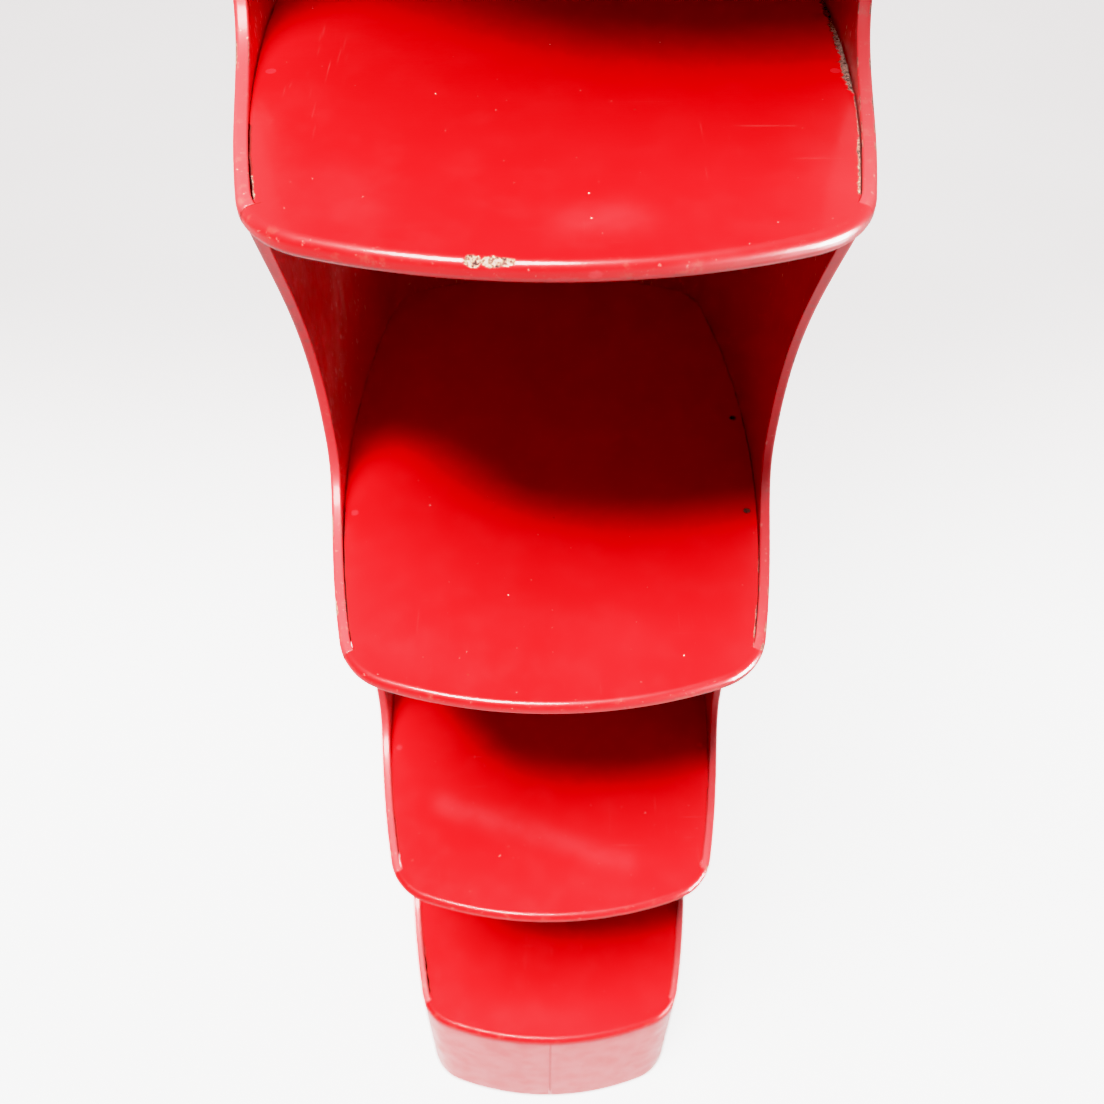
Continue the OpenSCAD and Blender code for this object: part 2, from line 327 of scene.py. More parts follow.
# ---------------------------------------------------------------- shader nodes
class Nodes:
    """Builds a node tree. Each method adds a node and returns its output socket.
    Lengths are in metres. mix and blend give the second value at 0, the third at 1."""

    def __init__(self, owner, coords="Object"):
        owner.use_nodes = True
        self.owner = owner
        self.tree = owner.node_tree
        self.coords = self.node("ShaderNodeTexCoord").outputs[coords]

    def node(self, kind):
        return self.tree.nodes.new(kind)

    def put(self, socket, value):
        if isinstance(value, bpy.types.NodeSocket):
            self.tree.links.new(value, socket)
        elif isinstance(value, tuple) and len(value) == 3 and socket.type == "RGBA":
            socket.default_value = (*value, 1)
        else:
            socket.default_value = value

    def math(self, operation, a, b=0.0):
        n = self.node("ShaderNodeMath")
        n.operation = operation
        self.put(n.inputs[0], a)
        self.put(n.inputs[1], b)
        return n.outputs[0]

    def mul(self, a, b):
        return self.math("MULTIPLY", a, b)

    def add(self, a, b):
        return self.math("ADD", a, b)

    def sub(self, a, b):
        return self.math("SUBTRACT", a, b)

    def most(self, a, b):
        return self.math("MAXIMUM", a, b)

    def step(self, value, lo, hi, out=(0.0, 1.0)):
        """Smoothstep: out[0] below lo, out[1] above hi."""
        n = self.node("ShaderNodeMapRange")
        n.interpolation_type = "SMOOTHSTEP"
        self.put(n.inputs["Value"], value)
        for key, number in zip(("From Min", "From Max", "To Min", "To Max"), (lo, hi, *out)):
            self.put(n.inputs[key], number)
        return n.outputs[0]

    def fall(self, value, lo, hi):
        return self.step(value, lo, hi, out=(1.0, 0.0))

    def mapped(self, scale=(1, 1, 1), turn=0.0, shift=(0, 0, 0)):
        n = self.node("ShaderNodeMapping")
        self.put(n.inputs["Vector"], self.coords)
        n.inputs["Scale"].default_value = scale
        n.inputs["Rotation"].default_value = (0, 0, turn)
        n.inputs["Location"].default_value = shift
        return n.outputs[0]

    def noise(self, scale=1.0, detail=2.0, rough=0.5, dist=0.0, stretch=None, turn=0.0):
        """stretch gives a frequency per axis, turn rotates it about z."""
        n = self.node("ShaderNodeTexNoise")
        vector = self.mapped(scale=stretch, turn=turn) if stretch else self.coords
        self.put(n.inputs["Vector"], vector)
        n.inputs["Scale"].default_value = scale
        n.inputs["Detail"].default_value = detail
        n.inputs["Roughness"].default_value = rough
        n.inputs["Distortion"].default_value = dist
        return n.outputs["Fac"]

    def patches(self, lo, hi, out=(0.0, 1.0), **noise):
        """Noise cut by a smoothstep."""
        return self.step(self.noise(**noise), lo, hi, out)

    def ragged(self, mask, noise, spread, lo, hi):
        """A mask whose border is broken up by noise."""
        return self.step(self.add(mask, self.mul(self.sub(noise, 0.5), spread)), lo, hi)

    def dots(self, scale, size, pick, shift=None):
        """Round dots in some cells. size: radii where a dot starts and ends fading;
        pick: range of the cell's random value from which it has one."""
        n = self.node("ShaderNodeTexVoronoi")
        self.put(n.inputs["Vector"], self.mapped(shift=shift) if shift else self.coords)
        n.inputs["Scale"].default_value = scale
        parts = self.node("ShaderNodeSeparateColor")
        self.put(parts.inputs[0], n.outputs["Color"])
        return self.mul(self.fall(n.outputs["Distance"], *size),
                        self.step(parts.outputs[0], *pick))

    def attr(self, name):
        n = self.node("ShaderNodeAttribute")
        n.attribute_name = name
        return n.outputs["Fac"]

    def xyz(self):
        n = self.node("ShaderNodeSeparateXYZ")
        self.put(n.inputs[0], self.coords)
        return n.outputs

    def mix(self, fac, a, b):
        n = self.node("ShaderNodeMix")
        n.data_type = "RGBA"
        self.put(n.inputs[0], fac)
        self.put(n.inputs[6], a)
        self.put(n.inputs[7], b)
        return n.outputs[2]

    def tint(self, base, mask, amount, colour):
        """Lay colour over base where the mask is, at most by amount."""
        return self.mix(self.mul(mask, amount), base, colour)

    def blend(self, fac, a, b):
        n = self.node("ShaderNodeMix")
        n.data_type = "FLOAT"
        self.put(n.inputs[0], fac)
        self.put(n.inputs[2], a)
        self.put(n.inputs[3], b)
        return n.outputs[0]

    def bump(self, height, strength, distance, normal=None):
        n = self.node("ShaderNodeBump")
        self.put(n.inputs["Height"], height)
        n.inputs["Strength"].default_value = strength
        n.inputs["Distance"].default_value = distance
        if normal is not None:
            self.put(n.inputs["Normal"], normal)
        return n.outputs[0]

    def surface(self, **values):
        """Set the Principled inputs and return the material."""
        for key, value in values.items():
            self.put(self.tree.nodes["Principled BSDF"].inputs[key.replace("_", " ")], value)
        return self.owner


def new_material(name):
    return Nodes(bpy.data.materials.new(name))


# ---------------------------------------------------------------- lacquer
def fibre_colour(m):
    """Exposed fibreboard: beige with brown flecks."""
    fibres = m.noise(scale=620, detail=3, rough=0.75, dist=0.8)
    clumps = m.noise(scale=260)
    col = m.mix(m.step(fibres, lo=0.42, hi=0.56), (0.036, 0.011, 0.009), (0.39, 0.22, 0.175))
    return m.tint(col, m.step(clumps, lo=0.46, hi=0.64), amount=0.50,
                  colour=(0.17, 0.075, 0.060))


def scratches(m):
    """Fine scratches in two directions, in some areas only."""
    across = m.noise(rough=0.6, stretch=(900, 14, 60), turn=0.5)
    along = m.noise(rough=0.6, stretch=(12, 800, 60), turn=0.35)
    area = m.patches(lo=0.50, hi=0.66, scale=9)
    lines = m.most(m.step(across, lo=0.70, hi=0.76), m.step(along, lo=0.71, hi=0.77))
    return m.mul(lines, area)


def streaks(m, inner):
    """Vertical mottling and pale flecks on the inside faces."""
    vertical = m.noise(detail=6, rough=0.75, dist=0.6, stretch=(150, 150, 13))
    short = m.noise(rough=0.6, stretch=(400, 400, 110))
    spread = m.mul(inner, m.patches(lo=0.34, hi=0.56, out=(0.15, 1.0), scale=9, detail=3))
    return (m.mul(m.step(vertical, lo=0.46, hi=0.64), spread),
            m.mul(m.step(short, lo=0.645, hi=0.70), spread))


def bare_mask(m, lo, hi):
    """Where the lacquer is gone, with a ragged border."""
    return m.ragged(m.attr("raw"), m.noise(scale=620, detail=3, rough=0.7), spread=0.75,
                    lo=lo, hi=hi)


def lacquer(name, deep, bright, rough, shelf=False):
    """Red lacquer with dust, scuffs, dirt and painted shade in the joints, bare spots, and a
    painted reflection on the shell's edges and plinth; deep and bright are its two reds.
    """
    m = new_material(name)
    broad = m.noise(scale=5.5, detail=3, rough=0.55)
    mid = m.noise(scale=42, detail=4, rough=0.6)
    height = m.xyz()[2]
    edge = m.attr("edge")

    # base red, cloudy at three sizes
    col = m.mix(m.step(broad, lo=0.32, hi=0.68), deep, bright)
    paler = tuple(min(1, c * 1.03 + 0.0035) for c in bright)
    darker = tuple(c * 0.80 for c in deep)
    col = m.tint(col, m.step(mid, lo=0.46, hi=0.74), amount=0.22, colour=paler)
    col = m.tint(col, m.patches(lo=0.58, hi=0.80, scale=95, detail=4, rough=0.7),
                 amount=0.25, colour=darker)
    if not shelf:
        # the plinth is lightened pink: dust, and a painted reflection of the bright floor
        plinth_dust_and_sheen = m.mul(m.fall(height, lo=0.19, hi=0.235),
                     m.patches(lo=0.30, hi=0.62, out=(0.75, 1.0), scale=13, detail=4, rough=0.6))
        col = m.tint(col, plinth_dust_and_sheen, amount=0.135, colour=(0.80, 0.56, 0.56))
    haze = m.mul(m.attr("haze"), m.patches(lo=0.22, hi=0.62, out=(0.35, 1.0),
                                           scale=28, detail=4, rough=0.65))
    col = m.tint(col, haze, amount=0.42, colour=(0.74, 0.052, 0.058))
    scratch = scratches(m)
    col = m.tint(col, scratch, amount=0.22, colour=(0.74, 0.16, 0.15))

    # pale dust in two sizes, then dark specks
    speck = m.dots(scale=62, size=(0.020, 0.045), pick=(0.80, 0.82))
    tiny = m.dots(scale=190, size=(0.035, 0.075), pick=(0.86, 0.88))
    dust = m.most(m.mul(speck, 0.85), m.mul(tiny, 0.40))
    col = m.mix(dust, col, (0.80, 0.42, 0.36))
    dark = m.dots(scale=48, size=(0.022, 0.05), pick=(0.86, 0.88), shift=(0.31, 0.17, 0.05))
    col = m.tint(col, dark, amount=0.75, colour=(0.09, 0.015, 0.01))

    # inside faces
    inner = m.attr("inner")
    mottle, flecks = streaks(m, inner)
    streak = m.most(m.mul(mottle, 0.5), flecks)
    col = m.tint(col, inner, amount=0.15, colour=(0.50, 0.21, 0.21))
    col = m.tint(col, mottle, amount=0.40, colour=(0.58, 0.23, 0.21))
    col = m.tint(col, flecks, amount=0.85, colour=(0.92, 0.62, 0.55))

    # rubbed edges: brownish abrasions and pale scuffs; on the shell the rounded edges are also
    # lightened pink as a painted reflection
    coarse = m.noise(scale=85, detail=5, rough=0.68)
    grain = m.noise(scale=260, detail=4, rough=0.7)
    rub = m.mul(edge, m.step(coarse, lo=0.56, hi=0.66))
    col = m.tint(col, rub, amount=0.42, colour=(0.34, 0.06, 0.045))
    if not shelf:
        # painted reflection: the shell's rounded edges lightened pink as if mirroring the bright
        # room
        col = m.tint(col, edge, amount=0.055, colour=(0.80, 0.46, 0.47))
    scuff = m.mul(edge, m.step(grain, lo=0.64, hi=0.70))
    col = m.tint(col, scuff, amount=0.55, colour=(0.62, 0.26, 0.22))

    # dirt and painted shade in the joints, then bare board in a dark ring
    dirt_and_shade = m.ragged(m.attr("dirt_and_shade"), grain, spread=0.7, lo=0.45, hi=0.75)
    col = m.tint(col, dirt_and_shade, amount=0.85, colour=(0.020, 0.006, 0.004))
    bare = bare_mask(m, lo=0.44, hi=0.56)
    ring = bare_mask(m, lo=0.34, hi=0.50)
    col = m.tint(col, ring, amount=0.65, colour=(0.16, 0.03, 0.02))
    col = m.mix(bare, col, fibre_colour(m))

    # gloss: dust, scratches, joint dirt with its painted shade, and bare board are duller
    roughness = m.blend(m.step(mid, lo=0.35, hi=0.7), rough, rough + 0.10)
    dusty = m.most(dust, m.most(m.mul(scratch, 0.6), m.mul(streak, 0.7)))
    roughness = m.blend(dusty, roughness, 0.72)
    roughness = m.blend(m.most(bare, m.mul(dirt_and_shade, 0.8)), roughness, 0.92)
    uncoated = m.most(bare, m.most(dirt_and_shade, m.mul(m.most(rub, haze), 0.4)))
    coat = m.mul(m.sub(1.0, uncoated), 0.45)
    if shelf:
        # the lower shelves shine less
        shine = m.step(height, lo=0.25, hi=1.25, out=(0.35, 1.0))
        coat = m.mul(m.mul(coat, shine), m.blend(edge, 0.38, 0.68))
        specular = m.mul(shine, m.blend(edge, 0.15, 0.30))
    else:
        coat = m.mul(coat, m.blend(edge, 0.55, 0.08))
        roughness = m.blend(m.mul(edge, 0.8), roughness, 0.48)
        specular = 0.35
    coat_roughness = m.blend(m.step(coarse, lo=0.4, hi=0.7), 0.10, 0.20)

    # relief: waves, fine grain, brush marks, dust and scratches, bare fibres
    waves = m.bump(m.noise(scale=34), strength=0.10, distance=0.0012)
    normal = m.bump(m.noise(scale=520, detail=3, rough=0.6),
                    strength=0.10, distance=0.00022, normal=waves)
    brush = m.noise(detail=3, rough=0.6, stretch=(24, 560, 90), turn=0.10)
    normal = m.bump(brush, strength=0.10, distance=0.00016, normal=normal)
    marks = m.sub(m.mul(dust, 0.7), m.add(m.mul(scratch, 0.35), m.mul(scuff, 0.5)))
    normal = m.bump(marks, strength=0.35, distance=0.00025, normal=normal)
    fibres = m.mul(bare, m.noise(scale=900, detail=4, rough=0.75))
    normal = m.bump(fibres, strength=0.9, distance=0.0009, normal=normal)
    return m.surface(Base_Color=col, Roughness=roughness, Normal=normal, Coat_Normal=waves,
                     Coat_Weight=coat, Coat_Roughness=coat_roughness, Coat_IOR=1.5, IOR=1.45,
                     Specular_IOR_Level=specular)


SHELL_LACQUER = lacquer("shell_lacquer_red", deep=(0.49, 0.0032, 0.0050),
                        bright=(0.57, 0.0048, 0.0070), rough=0.32)
SHELF_LACQUER = lacquer("shelf_lacquer_red", deep=(0.55, 0.0042, 0.0050),
                        bright=(0.63, 0.0060, 0.0072), rough=0.34, shelf=True)


# ---------------------------------------------------------------- shell
def scoop_curve(bottom):
    """Edge of one opening as (s, z) from its upper end down, behind the joint."""
    z = np.linspace(PITCH - SHELF, SCOOP_DEEP_Z, 90)
    wave = np.cos(math.pi / 2 * (z - SCOOP_DEEP_Z) / (UPPER_HEIGHT - SCOOP_DEEP_Z))
    y = UPPER_FRONT_Y + (SCOOP_DEEP_Y - UPPER_FRONT_Y) * wave
    q = np.linspace(0, math.pi / 2, 400)[1:]
    power = 2 / LOWER_POWER
    low_y = LOWER_FRONT_Y + (SCOOP_DEEP_Y - LOWER_FRONT_Y) * np.cos(q) ** power
    low_z = SCOOP_DEEP_Z - SCOOP_DEEP_Z * np.sin(q) ** power
    s = np.r_[s_of_y(y), s_of_y(np.minimum(low_y, SCOOP_DEEP_Y))]
    z = np.r_[z, low_z]
    keep = s > S_JOINT
    return np.c_[s[keep], z[keep] + bottom]


def shell_outline():
    """Boundary of one half in the flat pattern, anticlockwise with s to the right: points
    (s, z), inward directions, mitre factors, outer and inner rounding radii."""
    points, radii, ends = [], [], []

    def trace(path, step, start, end=None):
        """Add a path without its last point; start and end are (outer, inner) radii."""
        end = start if end is None else end
        path = resample(path, step)
        for p, t in zip(path[:-1], np.linspace(0, 1, len(path))[:-1]):
            points.append(p)
            radii.append([a + (b - a) * t for a, b in zip(start, end)])

    def end_point(z, joint_radii, direction):
        """A point on the joint line whose inward direction is straight up or down."""
        ends.append((len(points), direction))
        points.append(np.array([S_JOINT, z]))
        radii.append(joint_radii)

    s0, s1 = GAP / 2, HALF_LENGTH - GAP / 2
    seam_end = 0.8      # length of the fine steps beside a seam
    rounding = 5.6      # kept clear of the board's rounded edges on the joint line
    joint_edge, seam = (0.35, 0.35), (0.45, 0.45)
    top_edge, top_joint = (1.6, 0.8), (5.0, 0.5)
    scoop_joint, scoop_top, scoop_edge = (5.0, 0.6), (2.6, 0.8), (2.6, 1.1)

    trace([(s0, 0), (s0 + seam_end, 0)], 0.4, seam)
    trace([(s0 + seam_end, 0), (s1 - seam_end, 0)], 6, (1.0, 0.8))
    trace([(s1 - seam_end, 0), (s1, 0)], 0.4, seam)
    trace([(s1, 0), (s1, TOP)], 8, seam)
    trace([(s1, TOP), (S_JOINT + 70, TOP)], 5, top_edge)
    trace([(S_JOINT + 70, TOP), (S_JOINT, TOP)], 2.5, top_edge, top_joint)
    end_point(TOP, top_joint, -1.0)
    trace([(S_JOINT, TOP - rounding), (S_JOINT, TOP - SHELF + rounding)], 0.5, joint_edge)
    for i in range(1, 5):
        bottom = level(i)
        upper = bottom + PITCH - SHELF
        curve = scoop_curve(bottom)
        end_point(upper, scoop_joint, 1.0)
        trace([(S_JOINT + 0.4, upper), (curve[0, 0], upper)], 1.6, scoop_joint, scoop_top)
        d = distances(curve)
        first = np.searchsorted(d, 25)
        last = np.searchsorted(d, d[-1] - 70)
        trace(curve[:first + 1], 2.2, scoop_top, scoop_edge)
        trace(curve[first:last + 1], 3.0, scoop_edge)
        trace(np.r_[curve[last:], [(S_JOINT + 0.01, bottom)]], 1.8, scoop_edge, scoop_joint)
        end_point(bottom, scoop_joint, -1.0)
        if i == 4:
            trace([(S_JOINT, bottom - rounding), (S_JOINT, PLINTH)], 1.0, joint_edge)
        else:
            trace([(S_JOINT, bottom - rounding), (S_JOINT, bottom - SHELF + rounding)],
                  0.5, joint_edge)
    trace([(S_JOINT, PLINTH), (s0, PLINTH)], 2.5, (0.15, 0.15))
    trace([(s0, PLINTH), (s0, 0)], 4, (0.25, 0.45))

    p = np.array(points)
    ahead = np.roll(p, -1, 0) - p
    ahead /= np.maximum(np.hypot(*ahead.T), 1e-9)[:, None]
    left = np.stack([-ahead[:, 1], ahead[:, 0]], 1)
    inward = left + np.roll(left, 1, 0)
    inward /= np.maximum(np.hypot(*inward.T), 1e-6)[:, None]
    cosine = np.clip((inward * left).sum(1), 0.55, 1)
    for k, direction in ends:
        inward[k] = (0.0, direction)
        cosine[k] = 1.0
    outer, inner = np.array(radii).T
    return p, inward, 1 / cosine, outer, inner


UNEVEN = table_noise(11)


def wobble(s, z):
    """Slight unevenness of the bent board, always inward, in mm."""
    return 0.22 * UNEVEN(s / 150 + 3, z / 190 + 7)


def shell_grid():
    """Face points in (s, z), closer round the corners; every other column is raised."""
    back_corner = HALF_LENGTH - BOW_LENGTH - CORNER_LENGTH
    columns = np.r_[
        np.arange(6, BOW_LENGTH, 11.0),
        BOW_LENGTH + np.arange(2, CORNER_LENGTH, 5.5),
        np.arange(CORNER_END + 3, back_corner, 13.0),
        back_corner + np.arange(2, CORNER_LENGTH, 5.5),
        np.arange(HALF_LENGTH - BOW_LENGTH + 5, HALF_LENGTH, 11.0)]
    rows = np.arange(7, TOP, 14.0)
    return np.array([(s, z + (3.5 if k % 2 else 0)) for k, s in enumerate(columns) for z in rows])


def shell_half(name, node, side, seed):
    """One bent half, worked out on the right and mirrored when side is -1."""
    outline, inward, mitre, outer_r, inner_r = shell_outline()
    n = len(outline)
    rings = rounded_edge(outer_r, inner_r, WALL, [(outer_r + (WALL - inner_r)) / 2],
                         EDGE_STEPS_SHELL)
    ring_count = len(rings)
    loops = [outline + inward * (mitre * ring[0])[:, None] for ring in rings]
    grid = shell_grid()
    outer_points, outer_faces = fill(loops[0], [], grid, 4.5)
    inner_points, inner_faces = fill(loops[-1], [], grid, 4.5)
    outer_count, inner_count = len(outer_points) - n, len(inner_points) - n
    face_count = outer_count + inner_count

    flat = np.concatenate(loops + [outer_points[n:], inner_points[n:]])
    s, z = flat.T
    depth = np.concatenate([ring[1] for ring in rings]
                           + [np.zeros(outer_count), np.full(inner_count, WALL)])
    face_weight = np.r_[np.repeat([ring[2] for ring in rings], n),
                        np.ones(outer_count), -np.ones(inner_count)]
    rim_weight = np.r_[np.repeat([ring[3] for ring in rings], n), np.zeros(face_count)]
    edge = np.minimum(1.0, rim_weight * 1.2)
    inner = np.r_[np.zeros((ring_count - 2) * n), np.ones(2 * n),
                  np.zeros(outer_count), np.ones(inner_count)]
    rim_in = np.r_[np.tile(inward, (ring_count, 1)), np.zeros((face_count, 2))]

    plan, out = oval_at(np.clip(s, 0, HALF_LENGTH))
    along = np.stack([-out[:, 1], out[:, 0]], 1)    # direction of growing s
    uneven = wobble(s, z)
    slope_s = wobble(s + 1.0, z) - uneven
    slope_z = wobble(s, z + 1.0) - uneven
    verts = np.c_[plan - out * (depth + uneven)[:, None], z]
    normals = np.zeros((len(flat), 3))
    normals[:, :2] = out * face_weight[:, None] - along * (rim_in[:, 0] * rim_weight)[:, None]
    normals[:, 2] = -rim_in[:, 1] * rim_weight
    normals[:, :2] += along * (slope_s * face_weight)[:, None]
    normals[:, 2] += slope_z * face_weight

    # small nicks along the rounded edges
    nick = smooth(0.72, 0.86, table_noise(seed)(s / 9.0, z / 9.0)) * (edge > 0.3) * (edge < 0.98)
    verts -= unit(normals) * (0.35 * nick)[:, None]

    rest = ring_count * n
    face_sets = [
        rim_faces(ring_count, n),
        renumber(outer_faces, n, 0, rest),
        renumber(inner_faces, n, rest - n, rest + outer_count)]
    face_sets = [orient(faces, verts, normals)[:, ::side] for faces in face_sets]

    # dirt and painted shade just above each shelf on the inside, and darker within 7 mm of the
    # floor
    dirt_and_shade = np.zeros(len(z))
    for i in range(1, 5):
        above = z - level(i)
        line = 0.75 * (1 - np.clip(above, 0, 4) / 4)
        dirt_and_shade = np.maximum(dirt_and_shade, np.where((above > -1) & (above < 4), line, 0))
    dirt_and_shade = np.maximum(dirt_and_shade * inner, smooth(7, 0, z) * 0.7)

    verts[:, 0] *= side
    normals[:, 0] *= side
    build(name, node, verts, face_sets, normals,
          {"edge": edge, "inner": inner, "dirt_and_shade": dirt_and_shade, "raw": nick * 0.9,
           "haze": np.zeros(len(z))},
          SHELL_LACQUER, trust=1.0 - np.clip(nick * 2, 0, 0.8))


shell_half("shell_left_board", "shell_left", side=-1, seed=29)
shell_half("shell_right_board", "shell_right", side=1, seed=23)

# ---------------------------------------------------------------- shelves
LEFT, RIGHT = -1, 1


def wall_span(side, y0, y1):
    """Signed arc positions, in rising order, of a stretch of side wall."""
    return sorted((side * wall_s(y0), side * wall_s(y1)))


def stations(start, end, coarse_step, fine_spans, least):
    """Positions from start to end; fine_spans are (from, to, step). A last step
    shorter than least is merged."""
    places = [start]
    while places[-1] < end - 1e-6:
        u = places[-1]
        step = coarse_step(u)
        for lo, hi, fine in fine_spans:
            if lo < u < hi:
                step = fine
        places.append(min(u + step, end))
    if places[-1] - places[-2] < least:
        places.pop(-2)
    return np.array(places)


def wall_step(u):
    """Coarser on the side walls than on corners and back. u runs on past the back."""
    s = u if u < HALF_LENGTH else 2 * HALF_LENGTH - u
    return 4.0 if CORNER_END < s < HALF_LENGTH - BOW_LENGTH - CORNER_LENGTH else 2.5


def circle(centre, radius):
    a = np.linspace(0, 2 * math.pi, 28, endpoint=False)
    return np.c_[centre[0] + radius * np.cos(a), centre[1] + radius * np.sin(a)]


def flat(points, z):
    return np.c_[points, np.full(len(points), z)]


def bore_faces(verts, top_start, bottom_start, ledge_start):
    """Stepped nail bores: head wall, ledge, shank wall. The arguments are the first rim
    vertices on the top face, on the bottom face and round the ledges."""
    count = len(circle((0, 0), 1))
    k = np.arange(count)
    k2 = (k + 1) % count
    faces = []
    for h in range(len(NAILS)):
        ledge = ledge_start + 2 * h * count
        rims = (top_start + h * count, ledge, ledge + count, bottom_start + h * count)
        for a, b in zip(rims, rims[1:]):
            faces.append(np.stack([a + k, a + k2, b + k2, b + k], 1))
    faces = np.concatenate(faces)
    # walls look towards the bore's axis, ledges look up
    cross = face_cross(faces, verts)
    axes = np.array(NAILS)[np.repeat(np.arange(len(NAILS)), 3 * count)]
    wanted = flat(axes - verts[faces].mean(1)[:, :2], 0.0)
    wanted[np.abs(cross[:, 2]) > np.hypot(cross[:, 0], cross[:, 1])] = (0, 0, 1)
    turned = (cross * wanted).sum(1) < 0
    faces[turned] = faces[turned][:, ::-1]
    return faces


def lift(field, mask, value):
    """Raise field to value where the mask holds."""
    np.maximum(field, np.where(mask, value, 0), out=field)


def wear(marks, at, noise, noise2, verts, normals):
    """Push-in depth and the bare, dirt-and-shade and haze values at every vertex of a shelf."""
    push, raw, dirt_and_shade, haze = np.zeros((4, len(verts)))
    u, across, inset = at.u, at.across, at.inset

    # gouges on the nosing
    for centre_u, centre_v, half_u, half_v, depth in marks.get("chips", []):
        e = ((u - centre_u) / half_u) ** 2 + ((across - centre_v) / half_v) ** 2
        f = (1 - e + 0.55 * (noise(u / 2.6, across / 2.2 + 9) - 0.5)
             + 0.35 * (noise2(u / 1.1, across / 1.1) - 0.5))
        hit = at.front & (e < 3)
        uneven = 0.65 + 0.7 * noise2(u / 1.5, across / 1.5 + 5)
        lift(push, hit, depth * smooth(0.0, 0.35, f) * uneven)
        lift(raw, hit, smooth(-0.15, 0.30, f))
    # edge worn bare along the wall
    for side, y0, y1, width, depth in marks.get("worn", []):
        along = fade(*wall_span(side, y0, y1), 0.06, u)
        reach = width * (0.40 + 0.5 * noise(u / 7.0, 1.7) + 0.6 * noise2(u / 1.3, 4.2)) * along
        away = np.maximum(inset, (at.top - verts[:, 2]) * 0.8)
        f = smooth(1.0, 0.55, away / np.maximum(reach, 1e-3)) * along
        lift(raw, at.wall, f)
        lift(push, at.wall, depth * f * (0.5 + noise2(u / 2.0, inset)))
    # dirt and painted shade along the given stretches of wall
    for side, y0, y1, width, amount in marks.get("dirt_and_shade", []):
        along = fade(*wall_span(side, y0, y1), 0.1, u)
        lift(dirt_and_shade, at.wall, amount * along * smooth(width, 0.2, np.maximum(inset - 0.3, 0)))
    # scuffs on the nosing: paler, not down to the board
    for centre_u, centre_v, half_u, half_v, amount in marks.get("scuffs", []):
        e = ((u - centre_u) / half_u) ** 2 + ((across - centre_v) / half_v) ** 2
        f = (1 - e + 0.8 * (noise(u / 2.2, across / 1.6 + 3) - 0.5)
             + 0.6 * (noise2(u / 0.9, across / 0.8) - 0.5))
        hit = at.front & (e < 3)
        lift(haze, hit, amount * smooth(-0.2, 0.5, f))
        lift(push, hit, 0.10 * smooth(0.0, 0.5, f))
    # dark line where the nosing meets the left wall: dirt and painted shade
    joint = smooth(at.left_end + 1.7, at.left_end + 0.2, u)
    lift(dirt_and_shade, at.front & (u < at.left_end + 1.7), marks.get("joint_dirt_and_shade", 0.5) * joint)
    # thin grime and painted shade all along the wall
    lift(dirt_and_shade, at.wall, 0.55 * smooth(1.4, 0.5, inset) * (0.4 + 0.9 * noise(u / 13.0, 0.0)))
    # soft patches on the top face
    for x0, y0, x1, y1, radius, amount in marks.get("haze", []):
        start, d = np.array([x0, y0]), np.array([x1 - x0, y1 - y0])
        t = np.clip(((verts[:, :2] - start) @ d) / (d @ d), 0, 1)
        r = np.hypot(*(verts[:, :2] - start - t[:, None] * d).T)
        lift(haze, normals[:, 2] > 0.3, amount * np.exp(-(r / radius) ** 2))
    return push, raw, dirt_and_shade, haze


